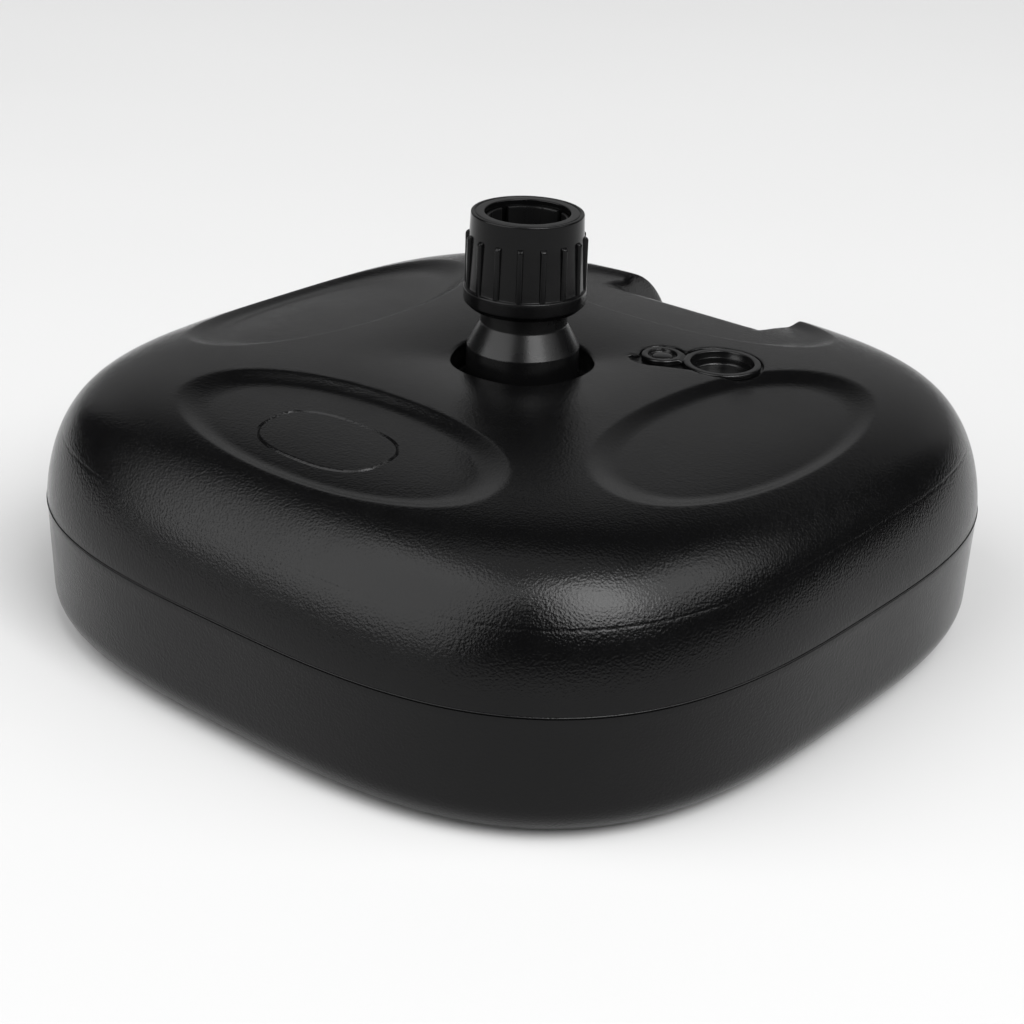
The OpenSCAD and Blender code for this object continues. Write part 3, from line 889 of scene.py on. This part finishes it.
def collar_shape():
    """The ribbed collar, with rows and columns put close together where a rib begins and ends."""
    top = COLLAR_HIGH[2]
    corners = [
        (COLLAR_BORE_R, COLLAR_LOW[2], 0.4), (BAND_R - 3, COLLAR_LOW[2], 0.8), (BAND_R, BAND_LOW, 0.8),
        (BAND_R, BAND_TOP, 0.8), (COLLAR_FOOT_R, BAND_TOP + 0.9, 0.5), (COLLAR_TOP_R, top, 1.3),
        (COLLAR_TOP_R - 1.9, top, 0.5), (COLLAR_TOP_R - 2.0, top - 0.55, 0.15),
        (COLLAR_TOP_R - 2.5, top - 0.55, 0.15), (COLLAR_TOP_R - 2.6, top - 0.1, 0.2),
        (COLLAR_HOLE_R, top - 0.1, 0.7), (COLLAR_HOLE_R, LIP_Z, 0.4), (COLLAR_BORE_R, CONE_START, 0.5)]
    rows = finer(outline(corners, 6), 1.6)
    wall = rows[(rows[:, 0] > COLLAR_TOP_R - 0.5) & (rows[:, 1] > RIB_TOP - 4) & (rows[:, 1] < RIB_TOP + 2)]
    first = int(np.flatnonzero((rows == wall[0]).all(1))[0])
    rib_round = RIB_TOP - RIB_TOP_R * (1 - np.sin(np.linspace(0, np.pi / 2, 9)))
    z = np.concatenate([np.linspace(wall[0][1], RIB_TOP - RIB_TOP_R, 3)[:-1], rib_round,
                        [RIB_TOP + 0.05, wall[-1][1]]])
    r = np.interp(z, wall[:, 1], wall[:, 0])
    rows = np.concatenate([rows[:first], np.stack([r, z], 1), rows[first + len(wall):]])
    half = RIB_W / 2
    flank = half - RIB_EDGE * (1 - np.sin(np.linspace(0, np.pi / 2, 7)[1:]))
    between = np.linspace(half + 0.6, COLLAR_FOOT_R * np.pi / COLLAR_RIBS, 5)
    steps = np.concatenate([[0, half - RIB_EDGE], flank, [half + 0.06], between]) / COLLAR_FOOT_R
    one = np.concatenate([-steps[::-1], steps[1:-1]])
    middles = (np.arange(COLLAR_RIBS) + 0.5) * 2 * np.pi / COLLAR_RIBS
    angles = (middles[:, None] + one[None, :]).ravel()
    shape = Shape()
    shape.grid(turned(rows, angles, ribbed))
    return shape


# ---- Filler stopper, strap and anchor ring, one moulding ----

ANCHOR_HOLE_R = 3.1
FOLD_REACH = FLANGE_R + 0.6
FOLD_HALF_W = 1.4
FOLD_DEPTH = 0.85
PLATE_EDGE_R = 0.9
# Steps down into the cups and the plug's wall, each as (radius, depth)
CUP = [(0, 7.5), (15.0, 7.5), (15.6, 7.35), (15.95, 6.9), (16.1, 6.0), (16.25, 4.1), (16.35, 3.8),
       (16.85, 3.8), (16.98, 3.6), (17.1, 0.7), (17.25, 0.3), (17.5, 0.07), (17.8, 0)]
SMALL_CUP = [(0, 1.9), (7.2, 1.9), (7.55, 1.75), (7.75, 1.4), (7.9, 0.5), (8.1, 0.15), (8.5, 0)]
PLUG = [(0, 6.5), (16.4, 6.5), (17.2, 6.3), (17.6, 5.8), (18.7, 0.7), (18.85, 0.3), (19.2, 0)]


def moulding_distance(x, y):
    """Signed distance to the outline of the whole moulding, below 0 inside it."""
    u, v = strap_frame(x, y)
    ring = np.hypot(u - STRAP_REACH, v) - FLANGE_R
    small = np.hypot(u, v) - ANCHOR_R
    strap = np.maximum(np.abs(v) - STRAP_W / 2, np.maximum(-u, u - STRAP_REACH))
    return soft_min(soft_min(ring, strap, 2.0), small, 2.0)


def stopper_shape():
    """Stopper, strap and anchor ring, cut as one plate and bent above and below."""
    sheet = Sheet(STRAP_REACH + 8, STOPPER_STEP)
    centre = (ANCHOR_AXIS + STOPPER_AXIS) / 2

    def plan(q):
        return q[:, 0] + centre[0], q[:, 1] + centre[1]

    def big(q):
        return np.hypot(*(q + centre - STOPPER_AXIS).T)

    def small(q):
        return np.hypot(*(q + centre - ANCHOR_AXIS).T)

    for r, _ in CUP[2:] + PLUG[2:]:
        sheet.follow(big, r, 0.12)
    for r, _ in SMALL_CUP[1:]:
        sheet.follow(small, r, 0.12)
    for level in (PLATE_EDGE_R, PLATE_EDGE_R / 2, PLATE_EDGE_R / 7):
        sheet.follow(lambda q: -moulding_distance(*plan(q)), level, 0.15)
    for offset in (-FOLD_HALF_W, -0.5, 0, 0.5, FOLD_HALF_W):
        sheet.follow(lambda q: strap_frame(*plan(q))[0], STRAP_REACH - FOLD_REACH + offset, 0.12)
    sheet.trim(lambda q: moulding_distance(*plan(q)))
    sheet.trim(lambda q: ANCHOR_HOLE_R - small(q))
    x, y = plan(sheet.points)
    u, _ = strap_frame(x, y)
    fold = FOLD_DEPTH * (1 - smooth(np.abs(u - STRAP_REACH + FOLD_REACH) / FOLD_HALF_W))
    edge = round_drop(-moulding_distance(x, y), PLATE_EDGE_R)
    cups = np.interp(big(sheet.points), *zip(*CUP)) + np.interp(small(sheet.points), *zip(*SMALL_CUP))
    plug = np.interp(big(sheet.points), *zip(*PLUG))
    shape = Shape()
    shape.solid(sheet, np.stack([x, y, PLATE_TOP - cups - fold - edge], 1),
                np.stack([x, y, PLATE_LOW + 0.02 - plug + 0.6 * fold + 0.4 * edge], 1))
    return shape


# ---- Anchor rivet ----

RIVET_STEM_R = 3.0
RIVET_HEAD_R = 5.6
RIVET_FOOT_R = 4.6
RIVET_EDGE = 0.45  # height of the head's rim, under the dome
RIVET_COLUMNS = 48
BOSS_T = 5.0


def rivet_shape():
    """The turned rivet: a barbed foot under the tank's boss, a stem and a domed head in the small cup."""
    head_low = PLATE_TOP - SMALL_CUP[0][1] + 0.04
    dome_low = head_low + RIVET_EDGE
    dome = [(RIVET_HEAD_R * math.cos(a), dome_low + (RIVET_HIGH[2] - dome_low) * math.sin(a))
            for a in np.linspace(0, math.pi / 2 - 0.12, 9)]
    foot_top = PLATE_LOW - BOSS_T
    tip = RIVET_LOW[2]
    profile = [(0, tip), (RIVET_STEM_R - 0.9, tip), (RIVET_STEM_R - 0.5, tip + 0.2),
               (RIVET_FOOT_R, foot_top - 0.6), (RIVET_FOOT_R, foot_top - 0.1),
               (RIVET_STEM_R, foot_top - 0.04), (RIVET_STEM_R, head_low),
               (RIVET_HEAD_R - 0.15, head_low), (RIVET_HEAD_R, head_low + 0.15)]
    profile += dome + [(0, dome[-1][1])]
    shape = Shape()
    points = turned(np.array(profile), np.linspace(0, 2 * np.pi, RIVET_COLUMNS, endpoint=False))
    points[:, :, :2] += ANCHOR_AXIS
    shape.grid(points, closed_rows=False)
    return shape


# ---- Materials ----

def node_tree(name):
    """A new material, its node tree and its shader."""
    mat = bpy.data.materials.new(name)
    mat.use_nodes = True
    nodes = mat.node_tree.nodes
    return mat, mat.node_tree, nodes["Principled BSDF"]


def add(tree, kind, **inputs):
    """A node with its inputs set: a socket links, anything else is a value.

    Underscores in a name are spaces, and i0, i1 and so on are inputs by their number.
    """
    node = tree.nodes.new(kind)
    for key, value in inputs.items():
        target = node.inputs[int(key[1:]) if key.startswith("i") else key.replace("_", " ")]
        if isinstance(value, bpy.types.NodeSocket):
            tree.links.new(value, target)
        else:
            target.default_value = value
    return node


def ramp(tree, value, low, high, to_low, to_high):
    """Maps the value from low-high to to_low-to_high."""
    node = add(tree, "ShaderNodeMapRange", Value=value, From_Min=low, From_Max=high, To_Min=to_low,
               To_Max=to_high)
    return node.outputs["Result"]


def mixed_colour(tree, share, first, second):
    """A colour that goes from first at share 0 to second at 1."""
    node = add(tree, "ShaderNodeMix", Factor=share)
    node.data_type = "RGBA"
    node.inputs[6].default_value = (*first, 1)
    node.inputs[7].default_value = (*second, 1)
    return node.outputs[2]


def summed(tree, first, second):
    node = add(tree, "ShaderNodeMath", i0=first, i1=second)
    node.operation = "ADD"
    return node.outputs[0]


PATCH_SCALE = 14.0  # noise scales per metre
FLOW_SCALE = 90.0
FINE_PER_CELL = 1.7  # the fine noise's scale against the grain's cells
MOTTLE = 0.06  # how far the roughness goes up and down


def moulded_plastic(name, colour, dark, roughness, grain_size, grain_depth, specular):
    """Moulded black plastic: leather grain, slight flow marks, smoother and duller patches."""
    mat, tree, shader = node_tree(name)
    place = tree.nodes.new("ShaderNodeTexCoord").outputs["Object"]
    patches = add(tree, "ShaderNodeTexNoise", Vector=place, Scale=PATCH_SCALE, Detail=4.0, Roughness=0.6)
    flow = add(tree, "ShaderNodeTexNoise", Vector=place, Scale=FLOW_SCALE, Detail=3.0, Roughness=0.5)
    cells = add(tree, "ShaderNodeTexVoronoi", Vector=place, Scale=1 / (grain_size * MM))
    cells.feature = "SMOOTH_F1"
    cells.inputs["Smoothness"].default_value = 0.6
    fine = add(tree, "ShaderNodeTexNoise", Vector=place, Scale=FINE_PER_CELL / (grain_size * MM),
               Detail=3.0, Roughness=0.6)
    share = ramp(tree, patches.outputs["Fac"], 0.35, 0.7, 0, 1)
    tree.links.new(mixed_colour(tree, share, colour, dark), shader.inputs["Base Color"])
    patch_change = ramp(tree, patches.outputs["Fac"], 0.3, 0.7, -MOTTLE, MOTTLE)
    flow_rough = ramp(tree, flow.outputs["Fac"], 0.3, 0.7, roughness - MOTTLE / 2, roughness + MOTTLE / 2)
    tree.links.new(summed(tree, patch_change, flow_rough), shader.inputs["Roughness"])
    height = summed(tree, cells.outputs["Distance"], fine.outputs["Fac"])
    bump = add(tree, "ShaderNodeBump", Strength=1.0, Distance=grain_depth * MM, Height=height)
    tree.links.new(bump.outputs["Normal"], shader.inputs["Normal"])
    shader.inputs["Specular IOR Level"].default_value = specular
    return mat


def floor_material():
    """Matt pale paper with a faint cloud in its tone."""
    mat, tree, shader = node_tree("floor_paper")
    place = tree.nodes.new("ShaderNodeTexCoord").outputs["Object"]
    cloud = add(tree, "ShaderNodeTexNoise", Vector=place, Scale=2.0, Detail=2.0)
    tone = mixed_colour(tree, cloud.outputs["Fac"], (0.49, 0.49, 0.49), (0.51, 0.51, 0.51))
    tree.links.new(tone, shader.inputs["Base Color"])
    shader.inputs["Roughness"].default_value = 0.9
    shader.inputs["Specular IOR Level"].default_value = 0.1
    return mat


# ---- Stage ----

def stage_floor():
    """A plain pale floor, 18 m wide so that its edges stay out of the pictures."""
    half = 9.0
    mesh = bpy.data.meshes.new("floor")
    mesh.from_pydata([(-half, -half, 0), (half, -half, 0), (half, half, 0), (-half, half, 0)], [],
                     [(0, 1, 2, 3)])
    floor = bpy.data.objects.new("floor", mesh)
    bpy.context.scene.collection.objects.link(floor)
    mesh.materials.append(floor_material())


def softbox(name, azimuth, elevation, wide, high, radiance, distance=9.0):
    """A soft light seen from the object at these angles, all in degrees, with this radiance."""
    az, el = math.radians(azimuth), math.radians(elevation)
    place = Vector((math.cos(el) * math.cos(az), math.cos(el) * math.sin(az), math.sin(el))) * distance
    data = bpy.data.lights.new(name, "AREA")
    data.shape = "RECTANGLE"
    data.size = 2 * distance * math.tan(math.radians(wide / 2))
    data.size_y = 2 * distance * math.tan(math.radians(high / 2))
    data.energy = radiance * math.pi * data.size * data.size_y
    light = bpy.data.objects.new(name, data)
    bpy.context.scene.collection.objects.link(light)
    light.matrix_world = Matrix.Translation(place) @ (-place).to_track_quat("-Z", "Y").to_matrix().to_4x4()


def studio():
    """Soft lights round the object and a dim world: name, azimuth, elevation, width, height, radiance."""
    softbox("key_right", -19, 50, 30, 40, 9.5)
    softbox("key_side", 20, 42, 46, 30, 3.6)
    softbox("key_left", -113, 37, 60, 62, 3.2)
    softbox("overhead", -60, 84, 50, 40, 0.9)
    softbox("back_fill", 125, 24, 90, 40, 0.35)
    world = bpy.data.worlds.new("studio")
    bpy.context.scene.world = world
    world.use_nodes = True
    world.node_tree.nodes["Background"].inputs["Color"].default_value = (0.03, 0.03, 0.031, 1)
    bpy.context.scene.view_settings.view_transform = "Standard"


def camera():
    """A long lens that looks down from the front right corner: its place in metres and its axes."""
    place = Vector((0.67158, -0.81992, 0.53820))
    right = Vector((0.76404, 0.64424, 0.03449))
    up = Vector((-0.27081, 0.27173, 0.92349))
    back = right.cross(up)
    data = bpy.data.cameras.new("camera")
    data.lens = 73.86
    data.shift_x = -0.0075
    data.shift_y = -0.079
    cam = bpy.data.objects.new("camera", data)
    bpy.context.scene.collection.objects.link(cam)
    turn = Matrix((right, up, back)).transposed().to_4x4()
    cam.matrix_world = Matrix.Translation(place) @ turn
    bpy.context.scene.camera = cam


# ---- Scene ----

BLACK = (0.0022, 0.0022, 0.0023)
DEEP_BLACK = (0.0014, 0.0014, 0.0015)
GREYED = (0.0045, 0.0045, 0.0046)


def show(shape, name, material, body, nodes):
    """Makes the piece that stands for the CAD nodes and rides on the body."""
    obj = shape.piece(name, material)
    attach(obj, body)
    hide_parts(*nodes)


camera()
studio()
stage_floor()

tank_look = moulded_plastic("tank_look", BLACK, DEEP_BLACK, roughness=0.16, grain_size=1.3,
                            grain_depth=0.1, specular=0.19)
tube_look = moulded_plastic("tube_look", BLACK, DEEP_BLACK, roughness=0.28, grain_size=0.6,
                            grain_depth=0.012, specular=0.26)
sleeve_look = moulded_plastic("sleeve_look", GREYED, BLACK, roughness=0.3, grain_size=0.5,
                              grain_depth=0.012, specular=0.3)
collar_look = moulded_plastic("collar_look", BLACK, DEEP_BLACK, roughness=0.2, grain_size=0.8,
                              grain_depth=0.016, specular=0.16)
rivet_look = moulded_plastic("rivet_look", GREYED, BLACK, roughness=0.24, grain_size=0.5,
                             grain_depth=0.006, specular=0.3)
stopper_look = moulded_plastic("stopper_look", BLACK, DEEP_BLACK, roughness=0.26, grain_size=0.8,
                               grain_depth=0.02, specular=0.28)

show(tank_shape(), "tank_body", tank_look, "base", ["tank"])
show(tube_shape(), "stand_tube_turned", tube_look, "base", ["stand_tube"])
show(sleeve_shape(), "clamp_fingers", sleeve_look, "sleeve", ["clamp_sleeve"])
show(collar_shape(), "clamp_collar_ribbed", collar_look, "collar", ["clamp_collar"])
show(rivet_shape(), "anchor_rivet_domed", rivet_look, "base", ["anchor_rivet"])

# The stopper, its strap and the anchor ring are one piece, with a thinned fold line across the strap
stopper = stopper_shape().piece("filler_stopper_moulding", stopper_look)
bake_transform(stopper)
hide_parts("filler_stopper", "stopper_strap")
